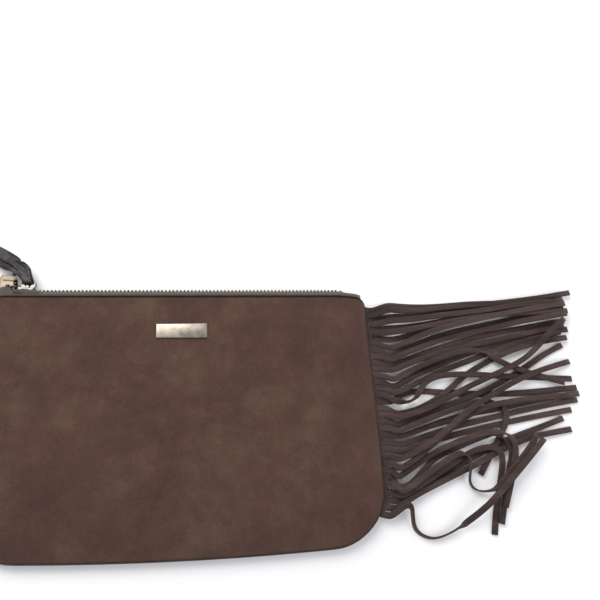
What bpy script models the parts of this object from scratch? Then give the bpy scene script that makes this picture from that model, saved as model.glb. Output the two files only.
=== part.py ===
"""Fringed suede clutch bag, lying on its back.

Frame: metres, +Z up. X runs along the zip, the fringe is at +X, Y points to the zip.
The origin is the middle of the flat back face, where the bag rests.
"""
import math

import bmesh
import bpy
import numpy as np
from mathutils import Matrix, Vector

GAP = 0.0003                 # clearance between pieces that touch

# Bag outline, as the panels are cut
HALF_WIDTH = 0.141           # side seam to middle
TOP_TAPER = 0.021            # share of the width lost towards the zip
BOTTOM_Y = -0.0948           # lowest point of the bottom seam
TOP_Y = 0.0875               # cut edge of the suede along the zip
CORNER_R = 0.037             # bottom corners
BOTTOM_BOW = 0.0025          # rise of the bottom seam at its ends
END_DROP = 0.007             # fall of the top edge at the fringe end
END_DROP_LENGTH = 0.009
BAND_SIDE = 0.023            # the fringe band starts this far in from the side seam

# Thickness of the layers
SUEDE_T = 0.0012
LINING_T = 0.0005
TAPE_T = 0.0007
FRINGE_T = 0.0012

# Heights of the filled shape over the table
FRONT_HEIGHT = 0.0170        # top of the front panel
SEAM_Z = 0.0050              # where the back panel meets the seam
FRONT_ROLL = 0.030           # width over which the front panel rolls down to its seam
BACK_ROLL = 0.022
TOP_ROLL = 0.014             # both, near the zip
LINING_INSET = 0.007         # lining seam inside the suede seam
LIP_START_Y = 0.064          # from here the panels lean in to the zip

# Zip
CHAIN_Y = 0.0923             # middle of the teeth
CHAIN_Z = 0.0085
CHAIN_HALF = 0.0026          # half the width of the closed teeth
TAPE_OUT = 0.0060            # outer face of the tape, from the middle of the chain
TOOTH_PITCH = 0.00275
TOOTH_WIDTH = 0.00105
TOOTH_REACH = 0.0032         # back of the tooth to its tip
TOOTH_HALF_T = 0.0014
SPINE = 0.0008               # cord that carries the teeth

# Slider
SLIDER_LENGTH = 0.0125
SLIDER_FROM_END = 0.0235     # its middle, from the bag's end
SLIDER_X = SLIDER_FROM_END - HALF_WIDTH * (1 - TOP_TAPER)
SLIDER_NOSE_HALF = 0.0053
SLIDER_TAIL_HALF = 0.0039
SLIDER_PLATE_T = 0.0010
SLIDER_FLANGE_W = 0.0009
SLIDER_SLOT_HALF = 0.00068   # half the slot that the tape runs through
NOSE_SPLIT = 0.0014          # each row moves out by this at the nose
POST_HALF_W = 0.00045
CROWN_HALF_W = 0.0021
CROWN_BAR = 0.0010
CROWN_LENGTH = 0.0022

# Open corner of the mouth, left of the slider
MOUTH_LENGTH = 0.009
LIP_SPREAD_LENGTH = 0.0085
MOUTH_CLOSE = 0.005          # length over which the lips meet again at the side seam
FRONT_LIP_SHIFT = 0.0003
BACK_LIP_SHIFT = 0.0130
RIM_REACH = 0.0083           # suede edge to tape rim where the mouth is open
LINING_REACH = 0.0054        # suede edge to lining edge where the mouth is open
TEETH_LEAD = 0.0045          # teeth past the point where they part

# Places along the zip, in the flat pattern
MOUTH_X = (SLIDER_X - SLIDER_LENGTH / 2 - 3 * GAP) / (1 - TOP_TAPER)
TEETH_START_X = MOUTH_X - TEETH_LEAD
TEETH_END_X = HALF_WIDTH - 0.022

# Pull ring and wrist strap
RING_WIRE_R = 0.00075
RING_HALF_X = 0.0052         # to the middle of the wire
RING_DEPTH = 0.0052          # near wire to far wire
RING_CORNER = 0.0023
RING_TILT = math.radians(-10)
STRAP_T = 0.0014
STRAP_WIDTH = 0.0084
STRAP_NECK_WIDTH = 0.0076    # where it passes through the ring
STRAP_STEP = 0.0075          # spacing of its sections
STRAP_LEG_GAP = 0.0004
STRAP_SPLAY = 0.0024         # each leg lies this far to its own side

# Name plate, bare
PLATE_X = -0.001
PLATE_Y = 0.0595
PLATE_W = 0.037
PLATE_H = 0.011
PLATE_T = 0.0010
PLATE_BEVEL = 0.0006

# Stops
STOP_LENGTH = 0.0018
END_STOP_LENGTH = 0.0024
STOP_HALF_T = 0.0010
STOP_FOOT = 0.0008           # gap from the tape's slanted edge
STOP_TIP = 0.0027

# Fringe
STRAND_PITCH = 0.00504
STRAND_WIDTH = 0.0047
STRAND_FREE_WIDTH = 0.0043   # once clear of the seam
FIRST_STRAND_S = 0.0035      # lowest strand, measured along the seam from the band's low end
FRINGE_LOW_Y = -0.0775
BAND_DEPTH = 0.006           # band held in the seam
BAND_OUT = 0.0008            # band showing outside the seam
STRAND_STRAIGHT = 0.006      # first stretch, square to the seam
STRAND_STEP = 0.022          # spacing of the sections on a straight run
STRAND_TURN = math.radians(27)
ROOT_LENGTH = 0.030          # sections lie closer on this first length of each strand
ROOT_SHARE = 0.6
SOFTEN_PASSES = 14           # the strands have no sharp turns
STRAND_DROP = 0.034          # length over which a strand comes down to the table
STRAND_SLOPE = 0.42          # steepest rise over another strand
STRAND_CLEAR = 0.00035
STRAND_MARGIN = 0.0002       # kept between strands side by side
TABLE_CELL = 0.0004          # grid on which the fringe is laid
TABLE_LOW = (HALF_WIDTH - 0.012, BOTTOM_Y - 0.011)
TABLE_HIGH = (HALF_WIDTH + 0.182, TOP_Y + 0.020)
EDGE_ANGLE = math.radians(80)
EDGE_EASE = 0.009            # length over which a strand turns up on its edge
ROUTE_UNIT = 0.001           # the routes are in millimetres

# Stretches where a strand stands on its edge: from and to, in millimetres along it, and 1 if
# its upper side turns left or -1 if right
EDGE_RUNS = {0: (19, 84, 1), 4: (66, 122, -1), 5: (92, 116, -1), 6: (96, 112, -1),
             12: (90, 108, -1), 17: (16, 40, 1), 20: (88, 104, -1)}

# Route of each strand over the table, in millimetres out from the side seam and up from the
# bag's middle, from the lowest on the seam to the highest. A strand starts square to the
# seam, so the list begins past its first stretch.
STRAND_ROUTES = [
    [(10, -68), (16, -65), (19, -70), (18.5, -77), (22, -84), (29, -88), (37, -88.5),
     (49, -84), (64, -74.5), (81, -62), (95, -49), (109, -37), (123, -23.5)],
    [(10, -67), (19, -61), (34, -54.5), (49, -48.5), (64, -42.5), (77, -37), (89, -31),
     (101, -26.5), (113, -22), (125, -19.5), (139, -18), (151, -16)],
    [(11, -63), (24, -57), (39, -49.5), (54, -42), (67, -36), (79, -30), (91, -25),
     (105, -20), (119, -16.5), (134, -11.5), (146, -7.5)],
    [(11, -60), (24, -54), (39, -46), (54, -38), (64, -32.5), (74, -28.5), (82, -27.5),
     (89, -30), (91.5, -37), (90, -46), (86, -60), (81, -75), (78.3, -88)],
    [(11, -57), (17, -55), (27, -48), (39, -41), (49, -35.5), (57, -32), (63, -31.8),
     (66.3, -36), (65.5, -42), (63, -50), (66, -56), (72, -59), (79, -58.5),
     (85, -55), (92, -47.5), (103, -38), (114, -28), (121, -20.5)],
    [(10, -54), (19, -52), (26, -46), (33, -40), (41, -34), (51, -29.5), (61, -26.5),
     (71, -22.5), (81, -19.5), (90, -19.5), (97, -24.5), (99, -32), (97, -42),
     (92, -56), (84, -81)],
    [(10, -47), (18, -43.5), (28, -37), (39, -31), (51, -26), (65, -21), (79, -17.5),
     (89, -17.5), (97, -21), (101.5, -28), (100, -37), (96, -48), (88, -70)],
    [(11, -41.5), (20, -38), (31, -31), (42, -23), (53, -15), (64, -7.5), (76, -1),
     (91, 3.5), (107, 5.5), (124, 8), (139, 9.5), (157, 9.5)],
    [(13, -35), (24, -30.5), (34, -26), (44, -20), (54, -12), (64, -5), (74, 2),
     (87, 9), (99, 15.5), (111, 21), (124, 26.5), (139, 31), (160.5, 37)],
    [(16, -29), (29, -25.5), (44, -21), (59, -17.5), (74, -14.5), (89, -11.5),
     (104, -9), (119, -6.5), (134, -4), (154, -1.2)],
    [(16, -24), (29, -20.5), (44, -15.5), (59, -12), (74, -8.5), (89, -6), (104, -3),
     (119, 0), (139, 3.5), (160.5, 6.5)],
    [(16, -18.5), (29, -14.5), (44, -9.5), (59, -5.5), (74, -2), (91, 0), (109, 3),
     (127, 6.5), (144, 9), (163, 11.5)],
    [(13, -14.8), (24, -11.5), (39, -6), (54, -1), (67, 3.5), (79, 6.5), (89, 6.5),
     (97.5, 3), (101, -4), (99, -11), (94, -18.5), (88, -27), (82, -35), (73.5, -47)],
    [(15, -9.8), (26, -6.5), (39, -1.5), (54, 3.5), (69, 8), (84, 13.5), (99, 20),
     (114, 27.5), (127, 35), (141, 43.5), (157, 50.5)],
    [(12, -5), (22, -3.5), (33, -0.5), (45, 4), (58, 10.5), (74, 18), (89, 24),
     (104, 30), (117, 36), (127, 42), (135, 49.5), (143, 57.5), (152, 66), (158, 70)],
    [(14, -1.5), (24, -0.5), (34, 2), (45, 7.5), (54, 12.5), (64, 20.5), (72, 27),
     (81, 32), (94, 38.5), (107, 44), (121, 48.5), (139, 53), (160.5, 56)],
    [(11, 6.5), (17, 10.5), (24, 14), (33, 15.8), (45, 15), (59, 13.2), (74, 12.5),
     (91, 12), (109, 12.2), (129, 13), (145, 14.5), (162, 16)],
    [(10, 8.8), (17, 6.8), (25, 6.5), (31, 10), (35, 16), (40, 22), (49, 26),
     (61, 27.5), (77, 27.3), (94, 26), (111, 24.8), (134, 23.8), (159.5, 23)],
    [(14, 13.5), (22, 15.8), (33, 21.2), (44, 26.5), (54, 31), (64, 34.5), (74, 37),
     (85, 41), (99, 46.5), (114, 51), (129, 54.5), (144, 58), (157, 61)],
    [(14, 18.3), (24, 22.8), (34, 28), (44, 32.8), (54, 37.5), (65, 42), (79, 46),
     (94, 49.5), (109, 54), (124, 58), (144, 62), (164.5, 63.7)],
    [(14, 23.5), (24, 28.5), (34, 33), (44, 37), (54, 40.7), (64, 44), (74, 46.3),
     (83, 46), (91, 43), (99, 38.5), (109, 33), (121, 27.8), (134, 24), (151, 19.5)],
    [(16, 31.3), (26, 35.5), (39, 40), (54, 45), (69, 48.5), (84, 51.5), (99, 54.5),
     (117, 58), (139, 62.5), (161, 67)],
    [(16, 35.8), (26, 39.5), (39, 44), (54, 49), (69, 53.5), (84, 57), (101, 60.5),
     (119, 64), (141, 67.5), (163, 71)],
    [(14, 38.7), (22, 42.5), (34, 47.3), (49, 53), (64, 57.5), (84, 61.5), (109, 66.5),
     (134, 70.5), (162, 75)],
    [(13, 43.5), (19, 44.8), (27, 48.5), (38, 53), (51, 58), (69, 62.5), (89, 66.5),
     (114, 71.5), (139, 75.5), (161, 79)],
    [(15, 48.8), (25, 51.8), (36, 56.5), (49, 61.5), (65, 65.5), (84, 70), (107, 74.5),
     (131, 79), (162, 83.5)],
    [(15, 55.3), (25, 57.5), (36, 61.2), (49, 64.5), (69, 69), (94, 74), (119, 78.5),
     (143, 83.5), (163, 88)],
    [(16, 60.2), (29, 62.3), (44, 65.2), (64, 69), (89, 72.5), (114, 75.5), (139, 77),
     (164, 77.5)],
    [(17, 65.2), (31, 66.5), (49, 69), (69, 73), (91, 78), (114, 81.5), (139, 83),
     (163, 81.5)],
    [(17, 70.3), (34, 71.5), (54, 74.5), (74, 76), (97, 78.5), (121, 83), (144, 85.5),
     (162, 85)],
    [(17, 74.8), (34, 75), (54, 77), (74, 80), (97, 83), (121, 84.5), (143, 87),
     (164, 89.5)],
    [(17, 79.5), (35, 79.2), (57, 81.5), (79, 83), (101, 84.5), (124, 87.5), (145, 90),
     (171, 94.5)],
    [(17, 84.3), (35, 83), (57, 83.5), (79, 85.5), (103, 86.5), (127, 86), (159, 84)],
]
# Order in which the strands fall on one another, the lowest layer first
LAYING_ORDER = [32, 30, 28, 26, 24, 22, 19, 16, 13, 10, 2, 31, 29, 27, 25, 23, 21, 18, 15, 9, 11,
                17, 20, 12, 1, 3, 5, 6, 4, 0, 7, 8, 14]

# Route of the doubled wrist strap past the ring, in millimetres from the middle of the slider
STRAP_ROUTE = [(-1.2, 12.2), (-3.6, 15.6), (-7.6, 19.6), (-14, 24.4), (-22.5, 30), (-33, 36),
               (-50, 43), (-72, 47), (-95, 45.5), (-116, 37.5), (-131, 25)]
# Height of the middle of the doubled strap over the table along that route
STRAP_HEIGHTS = [7.8, 7.9, 7.7, 6.9, 5.2, 3.5, 2.1, 1.9, 1.9, 2.0, 2.2]
STRAP_END_RISE = 0.0016      # the far fold stays a little open


def smooth(t):
    """Ease from 0 to 1."""
    t = min(1.0, max(0.0, t))
    return t * t * (3 - 2 * t)


def lerp(a, b, t):
    return a + (b - a) * t


def mouth(x):
    """How far the zip tapes stand apart at x, from 0 to 1."""
    opened = smooth((MOUTH_X - x) / MOUTH_LENGTH)
    return opened * smooth((x + HALF_WIDTH + 0.0015) / MOUTH_CLOSE)


def lip_spread(x):
    """How far the suede lips stand apart at x, from 0 to 1."""
    opened = smooth((MOUTH_X - GAP - x) / LIP_SPREAD_LENGTH)
    return opened * smooth((x + HALF_WIDTH + 0.0015) / MOUTH_CLOSE)


def end_drop(x):
    """Fall of the top edge where it turns down at the fringe end."""
    slope = 0.001 * smooth((x - HALF_WIDTH + BAND_SIDE) / 0.014)
    turn = min(1.0, max(0.0, (x + END_DROP_LENGTH - HALF_WIDTH) / END_DROP_LENGTH))
    return slope + END_DROP * (1 - math.sqrt(1 - turn * turn))


def place(x, y, z, front):
    """Turn a point of the flat pattern into its place on the bag."""
    top = smooth((y - LIP_START_Y + 0.016) / (TOP_Y - LIP_START_Y + 0.016))
    up = smooth((y + CORNER_R) / (TOP_Y + CORNER_R))
    low = (TOP_Y - y) / (TOP_Y - BOTTOM_Y)
    new_x = x * (1 - TOP_TAPER * up)
    bow = BOTTOM_BOW * (x / (HALF_WIDTH - CORNER_R)) ** 2 * max(0.0, low)
    shift = lip_spread(x) * top
    new_y = y + bow - end_drop(x) * top
    lip_shift = FRONT_LIP_SHIFT if front else BACK_LIP_SHIFT
    return Vector((new_x, new_y + lip_shift * shift, z))


def edge_distance(x, y, inset):
    """Distance in from the side and bottom seams, and the direction that leads inward."""
    radius = CORNER_R - inset
    centre_x = HALF_WIDTH - CORNER_R
    centre_y = BOTTOM_Y + CORNER_R
    side = math.copysign(1.0, x)
    if abs(x) > centre_x and y < centre_y:
        dx, dy = abs(x) - centre_x, y - centre_y
        r = math.hypot(dx, dy)
        return radius - r, (-side * dx / r, -dy / r)
    from_side = HALF_WIDTH - inset - abs(x)
    from_bottom = y - BOTTOM_Y - inset
    if from_side < from_bottom:
        return from_side, (-side, 0.0)
    return from_bottom, (0.0, 1.0)


def fringe_side(x, y):
    """1 where the fringe band lies in the seam, 0 elsewhere."""
    return smooth((x - HALF_WIDTH + BAND_SIDE) / 0.012) * smooth((y - FRINGE_LOW_Y + 0.0125) / 0.010)


def seam_height(x, y, front):
    if not front:
        return SEAM_Z
    return SEAM_Z + GAP + fringe_side(x, y) * (FRINGE_T + GAP)


def roll_width(y, front):
    low = FRONT_ROLL if front else BACK_ROLL
    return lerp(low, TOP_ROLL, smooth((y - 0.040) / (TOP_Y - 0.040)))


def crown_height(y, front):
    """Height of the panel's outer face away from the seams."""
    lean = smooth((y - LIP_START_Y) / (TOP_Y - LIP_START_Y))
    lip = TAPE_OUT + GAP + SUEDE_T
    if front:
        return lerp(FRONT_HEIGHT, CHAIN_Z + lip, lean)
    return lerp(0.0, CHAIN_Z - lip, lean)


def shell_point(x, y, front, inset, drop, depth):
    """A point on a panel or lining: inset from the seam, drop under the suede, depth inside it."""
    sign = 1 if front else -1
    seam = seam_height(x, y, front)
    if inset > 0:
        seam = (seam_height(x, y, True) + SEAM_Z + sign * GAP) / 2
    rise = sign * (crown_height(y, front) - seam) - drop
    width = roll_width(y, front) - inset
    d, inward = edge_distance(x, y, inset)
    c = min(1.0, max(0.0, 1 - d / width))
    q = math.sqrt(1 - c * c)
    slope, lift = c / width, q / rise
    norm = math.hypot(slope, lift)
    move = depth * slope / norm
    z = seam + sign * (rise * q - depth * lift / norm)
    return place(x + inward[0] * move, y + inward[1] * move, z, front)


def new_object(name, mesh, colour, roughness, metallic):
    """Put a finished mesh in the scene under its name, with its own material."""
    obj = bpy.data.objects.new(name, mesh)
    bpy.context.scene.collection.objects.link(obj)
    material = bpy.data.materials.new(name + "_finish")
    material.use_nodes = True
    shader = material.node_tree.nodes["Principled BSDF"]
    shader.inputs["Base Color"].default_value = (*colour, 1.0)
    shader.inputs["Roughness"].default_value = roughness
    shader.inputs["Metallic"].default_value = metallic
    mesh.materials.append(material)
    return obj


def finish_mesh(name, bm):
    """Point the faces out and hand the mesh over."""
    bmesh.ops.remove_doubles(bm, verts=bm.verts, dist=1e-6)
    bmesh.ops.recalc_face_normals(bm, faces=bm.faces)
    mesh = bpy.data.meshes.new(name)
    bm.to_mesh(mesh)
    bm.free()
    return mesh


def add_quad(bm, a, b, c, d):
    """A face through four corners, with repeated corners taken once."""
    corners = []
    for vert in (a, b, c, d):
        if vert not in corners:
            corners.append(vert)
    if len(corners) > 2:
        bm.faces.new(corners)


def bridge_rings(bm, rings, closed):
    """Faces between rings of the same number of vertices."""
    pairs = list(zip(rings, rings[1:]))
    if closed:
        pairs.append((rings[-1], rings[0]))
    for one, two in pairs:
        n = len(one)
        for i in range(n):
            j = (i + 1) % n
            add_quad(bm, one[i], one[j], two[j], two[i])


def sheet_solid(rows_outer, rows_inner):
    """A closed shell from two equal grids of points, joined round their borders."""
    bm = bmesh.new()
    outer = [[bm.verts.new(p) for p in row] for row in rows_outer]
    inner = [[bm.verts.new(p) for p in row] for row in rows_inner]
    n, m = len(outer), len(outer[0])
    for grid in (outer, inner):
        for i in range(n - 1):
            for j in range(m - 1):
                add_quad(bm, grid[i][j], grid[i][j + 1], grid[i + 1][j + 1], grid[i + 1][j])
    border = [(0, j) for j in range(m)] + [(i, m - 1) for i in range(1, n)]
    border += [(n - 1, j) for j in range(m - 2, -1, -1)] + [(i, 0) for i in range(n - 2, 0, -1)]
    for (i, j), (k, l) in zip(border, border[1:] + border[:1]):
        add_quad(bm, outer[i][j], outer[k][l], inner[k][l], inner[i][j])
    return bm


# Rows and columns of the shells: close together where they roll down to the seam
ROLL_STEPS = [0.0, 0.0007, 0.0026, 0.006, 0.011, 0.0145, 0.0175, 0.024]
CORNER_ROWS = [0.0, 0.0007, 0.0026, 0.006, 0.011, 0.018, 0.027]
MIDDLE_COLUMNS = [share * HALF_WIDTH for share in (-0.53, -0.25, 0.0, 0.25, 0.53)]
UPPER_ROWS = [-0.030, 0.005, 0.040, LIP_START_Y, LIP_START_Y + 0.008, TOP_Y - 0.006]


def row_half_width(y, inset):
    """Half the width of the pattern at y."""
    centre_y = BOTTOM_Y + CORNER_R
    if y >= centre_y:
        return HALF_WIDTH - inset
    radius = CORNER_R - inset
    reach = min(radius, centre_y - y)
    return HALF_WIDTH - CORNER_R + math.sqrt(radius ** 2 - reach ** 2)


def make_shell(front, inset, drop, depth, top_y, drop_near_zip=0.0, open_rise=0.0):
    """Panel or lining: the grid of its outer face and the same grid inside it."""
    rows = [BOTTOM_Y + inset + h for h in CORNER_ROWS] + [BOTTOM_Y + CORNER_R]
    rows += UPPER_ROWS + [top_y]
    if open_rise:
        rows.append(top_y + GAP)
    outer, inner = [], []
    for y in rows:
        half = row_half_width(y, inset)
        edge = [half - s for s in ROLL_STEPS]
        xs = [-e for e in edge] + MIDDLE_COLUMNS + edge[::-1]
        extra = drop + drop_near_zip * smooth((y - LIP_START_Y) / 0.010)
        ys = [y + open_rise * mouth(x) * (y > top_y) for x in xs]
        outer.append([shell_point(x, v, front, inset, extra, 0.0) for x, v in zip(xs, ys)])
        inner.append([shell_point(x, v, front, inset, extra, depth) for x, v in zip(xs, ys)])
    return sheet_solid(outer, inner)


def make_panels():
    suede = (0.107, 0.069, 0.052)
    for name, front in (("front_panel", True), ("back_panel", False)):
        bm = make_shell(front, 0.0, 0.0, SUEDE_T, TOP_Y)
        new_object(name, finish_mesh(name, bm), suede, 0.95, 0.0)


def make_linings():
    satin = (0.69, 0.54, 0.40)
    under_tape = TAPE_T + GAP
    for name, front in (("front_lining", True), ("back_lining", False)):
        bm = make_shell(front, LINING_INSET, SUEDE_T + GAP, LINING_T, TOP_Y - 4 * GAP,
                        under_tape, LINING_REACH)
        new_object(name, finish_mesh(name, bm), satin, 0.45, 0.0)


def lip_offset(x, y, front):
    """Outer face of the tape under the suede, from the middle of the chain."""
    sign = 1 if front else -1
    seam = seam_height(x, y, front)
    rise = sign * (crown_height(y, front) - seam) - SUEDE_T - GAP
    width = roll_width(y, front)
    offsets = []
    for step in ROLL_STEPS:
        c = min(1.0, max(0.0, (width - step) / (width - SUEDE_T - GAP)))
        offsets.append(sign * (seam - CHAIN_Z) + rise * math.sqrt(1 - c * c))
    near_end = GAP * smooth((abs(x) - HALF_WIDTH + 0.011) / 0.005)
    offset = float(np.interp(HALF_WIDTH - abs(x), ROLL_STEPS, offsets)) - near_end
    return max(offset, GAP + TAPE_T)


def nose_split(x):
    """How far each row of teeth is led out inside the slider."""
    from_middle = SLIDER_X - x * (1 - TOP_TAPER)
    return NOSE_SPLIT * smooth(from_middle / (SLIDER_LENGTH / 2 - 0.0022))


def slider_near(x):
    """1 where the slider holds the tape out, 0 away from it."""
    past = abs(x * (1 - TOP_TAPER) - SLIDER_X) - SLIDER_LENGTH / 2
    return 1 - smooth((past - 0.001) / 0.006)


def tape_section(x, front):
    """Outer face of a tape at x, as (y, distance from the middle of the chain) from the
    hidden edge to the edge that carries the teeth."""
    lip = lip_offset(x, TOP_Y, front)
    split = nose_split(x)
    least = GAP + TAPE_T
    edge = lerp(CHAIN_HALF + GAP, GAP, smooth((x - TEETH_END_X - 0.0042) / 0.003))
    chain_y = CHAIN_Y + TAPE_T / 2
    run = chain_y - TOP_Y
    hidden = [(UPPER_ROWS[-1], lip_offset(x, UPPER_ROWS[-1], front)), (TOP_Y, lip)]
    round_over = [(TOP_Y + 0.30 * run, lip - 0.0001), (TOP_Y + 0.58 * run, lip - 0.0009),
                  (TOP_Y + 0.82 * run, lip - 0.0022), (chain_y, edge)]
    in_slider = [(TOP_Y + 0.38 * run, lip),
                 (chain_y - 0.0011, lip + 0.0002 + split),
                 (chain_y, lip - 0.0007 + split), (chain_y, edge + split)]
    opened = [(TOP_Y + RIM_REACH * share, lip - fall)
              for share, fall in ((0.27, 0.0), (0.54, 0.0), (0.79, 0.0002), (1.0, 0.0009))]
    m = mouth(x)
    near = slider_near(x) * (1 - smooth(3 * m))
    section = []
    for a, b, c in zip(round_over, in_slider, opened):
        y, w = lerp(lerp(a[0], b[0], near), c[0], m), lerp(lerp(a[1], b[1], near), c[1], m)
        section.append((y, max(w, least)))
    section[-1] = (section[-1][0], lerp(edge + split * near, opened[-1][1], m))
    return hidden + section


def section_normals(points):
    """Unit normals of an open polyline, pointing to its inner side."""
    normals = []
    for i in range(len(points)):
        a = points[max(0, i - 1)]
        b = points[min(len(points) - 1, i + 1)]
        ty, tz = b[0] - a[0], b[1] - a[1]
        length = math.hypot(ty, tz)
        normals.append((tz / length, -ty / length))
    return normals


def edge_direction(x, section):
    """Which way the edge with the teeth points: across while closed, along the lip when open."""
    (ay, aw), (by, bw) = section[-2], section[-1]
    length = math.hypot(by - ay, bw - aw)
    m = mouth(x)
    ty, tw = m * (by - ay) / length, lerp(-1.0, (bw - aw) / length, m)
    norm = math.hypot(ty, tw)
    return ty / norm, tw / norm


def chain_place(x, y, offset, front):
    """A point of a zip half from its flat section."""
    sign = 1 if front else -1
    return place(x, y, CHAIN_Z + sign * offset, front)


def tape_stations():
    """Where the tapes have a section: the panels' columns, and more at the mouth and slider."""
    on_panel = [HALF_WIDTH - step for step in ROLL_STEPS[3:]]
    xs = [-x for x in on_panel] + MIDDLE_COLUMNS + on_panel
    xs += [MOUTH_X - MOUTH_LENGTH * k / 4 for k in range(4)]
    xs += [(SLIDER_X + SLIDER_LENGTH * k / 2) / (1 - TOP_TAPER) for k in (-1, -0.5, 0, 0.5, 1, 1.8, 3)]
    xs += [TEETH_END_X + 0.0042, TEETH_END_X + 0.0072]
    kept = []
    for x in sorted(xs):
        if not kept or x - kept[-1] > 0.0008:
            kept.append(x)
    return kept


def make_tapes():
    cloth = (0.145, 0.125, 0.112)
    for name, front in (("front_zip_tape", True), ("back_zip_tape", False)):
        outer, inner = [], []
        for x in tape_stations():
            section = tape_section(x, front)
            ty, tw = edge_direction(x, section)
            normals = section_normals(section)[:-1] + [(tw, -ty)]
            outer.append([chain_place(x, y, w, front) for y, w in section])
            inner.append([chain_place(x, y + n[0] * TAPE_T, w + n[1] * TAPE_T, front)
                          for (y, w), n in zip(section, normals)])
        bm = sheet_solid(outer, inner)
        new_object(name, finish_mesh(name, bm), cloth, 0.9, 0.0)


def row_point(x, reach, lift, front):
    """A point on a row of teeth: reach past the tape's edge, lift off the tape's middle."""
    section = tape_section(x, front)
    ty, tw = edge_direction(x, section)
    y = section[-1][0] + ty * reach + tw * (TAPE_T / 2 - lift)
    w = section[-1][1] + tw * reach - ty * (TAPE_T / 2 - lift)
    return chain_place(x, y, w, front)


def make_teeth():
    """Each row is a comb: the cord along the tape's edge with its teeth clamped on."""
    metal = (0.20, 0.19, 0.18)
    half = TOOTH_WIDTH / 2
    count = int((TEETH_END_X - TEETH_START_X) / TOOTH_PITCH)
    for name, front, phase in (("front_zip_teeth", True, 0.0), ("back_zip_teeth", False, 0.5)):
        bm = bmesh.new()
        back, edge = [], []
        for k in range(count):
            x = TEETH_START_X + (k + 0.5 + phase) * TOOTH_PITCH
            for at, reach in ((x - half, SPINE), (x - half, TOOTH_REACH),
                              (x + half, TOOTH_REACH), (x + half, SPINE)):
                edge.append([bm.verts.new(row_point(at, GAP + reach, lift, front))
                             for lift in (-TOOTH_HALF_T, TOOTH_HALF_T)])
            back.append([bm.verts.new(row_point(x, GAP, lift, front))
                         for lift in (-TOOTH_HALF_T, TOOTH_HALF_T)])
        for k in range(count):
            a, b, c, d = edge[4 * k:4 * k + 4]
            root = back[k]
            for side in (0, 1):
                bm.faces.new([a[side], b[side], c[side], d[side]])
                bm.faces.new([root[side], a[side], d[side]])
            for one, two in ((a, b), (b, c), (c, d)):
                add_quad(bm, one[0], two[0], two[1], one[1])
            if k + 1 < count:
                ahead, ahead_root = edge[4 * k + 4], back[k + 1]
                for side in (0, 1):
                    bm.faces.new([root[side], d[side], ahead[side], ahead_root[side]])
                add_quad(bm, d[0], ahead[0], ahead[1], d[1])
                add_quad(bm, root[0], ahead_root[0], ahead_root[1], root[1])
        add_quad(bm, back[0][0], edge[0][0], edge[0][1], back[0][1])
        add_quad(bm, back[-1][0], edge[-1][0], edge[-1][1], back[-1][1])
        new_object(name, finish_mesh(name, bm), metal, 0.35, 1.0)


def make_stops():
    metal = (0.35, 0.34, 0.33)
    end_x = TEETH_START_X - GAP
    for name, front in (("front_top_stop", True), ("back_top_stop", False)):
        bm = bmesh.new()
        rings = []
        for x in (end_x - STOP_LENGTH, end_x):
            ring = [(STOP_FOOT, -STOP_HALF_T), (STOP_TIP, -STOP_HALF_T), (STOP_TIP, STOP_HALF_T),
                    (STOP_FOOT, STOP_HALF_T)]
            rings.append([bm.verts.new(row_point(x, r, l, front)) for r, l in ring])
        bridge_rings(bm, rings, False)
        bm.faces.new(rings[0])
        bm.faces.new(rings[1])
        new_object(name, finish_mesh(name, bm), metal, 0.3, 1.0)
    start = TEETH_END_X + TOOTH_PITCH / 2
    reach = CHAIN_HALF - GAP / 3
    bm = bmesh.new()
    made = bmesh.ops.create_cube(bm, size=1.0)
    size = Matrix.Diagonal((END_STOP_LENGTH, 2 * STOP_HALF_T + 0.0006, 2 * reach, 1.0))
    centre = place(start + END_STOP_LENGTH / 2, CHAIN_Y, CHAIN_Z, True)
    bmesh.ops.transform(bm, matrix=Matrix.Translation(centre) @ size, verts=made["verts"])
    bmesh.ops.bevel(bm, geom=list(bm.edges), offset=0.0004, segments=1, affect="EDGES")
    new_object("zip_end_stop", finish_mesh("zip_end_stop", bm), metal, 0.3, 1.0)


def slider_half_width(t):
    """Half the slider's width at t, from 0 at the nose to 1 at the tail."""
    return lerp(SLIDER_NOSE_HALF, SLIDER_TAIL_HALF, smooth((t - 0.15) / 0.6))


def make_plate_half(bm, sign):
    """One plate of the slider with its two flanges, lofted from nose to tail."""
    floor_h = TOOTH_HALF_T + GAP + 0.0001
    rings = []
    for t in (0.0, 0.05, 0.12, 0.3, 0.45, 0.6, 0.75, 0.9, 1.0):
        x = (t - 0.5) * SLIDER_LENGTH
        inner = slider_half_width(t) - SLIDER_FLANGE_W
        corner = max(0.0, 1 - t / 0.12, (t - 0.88) / 0.12)
        w = inner + SLIDER_FLANGE_W * (1 - 0.6 * corner ** 2)
        top = floor_h + SLIDER_PLATE_T
        profile = [(-w, SLIDER_SLOT_HALF), (-w, top), (w, top), (w, SLIDER_SLOT_HALF),
                   (inner, SLIDER_SLOT_HALF), (inner, floor_h), (-inner, floor_h),
                   (-inner, SLIDER_SLOT_HALF)]
        rings.append([bm.verts.new((x, sign * h, z)) for z, h in profile])
    bridge_rings(bm, rings, False)
    bm.faces.new(rings[0])
    bm.faces.new(rings[-1])


def box_between(bm, low, high):
    """A plain block from its two corners, joined to the slider later."""
    made = bmesh.ops.create_cube(bm, size=1.0)
    low, high = Vector(low), Vector(high)
    size = Matrix.Diagonal((*(high - low), 1.0))
    move = Matrix.Translation((low + high) / 2)
    bmesh.ops.transform(bm, matrix=move @ size, verts=made["verts"])


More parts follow.
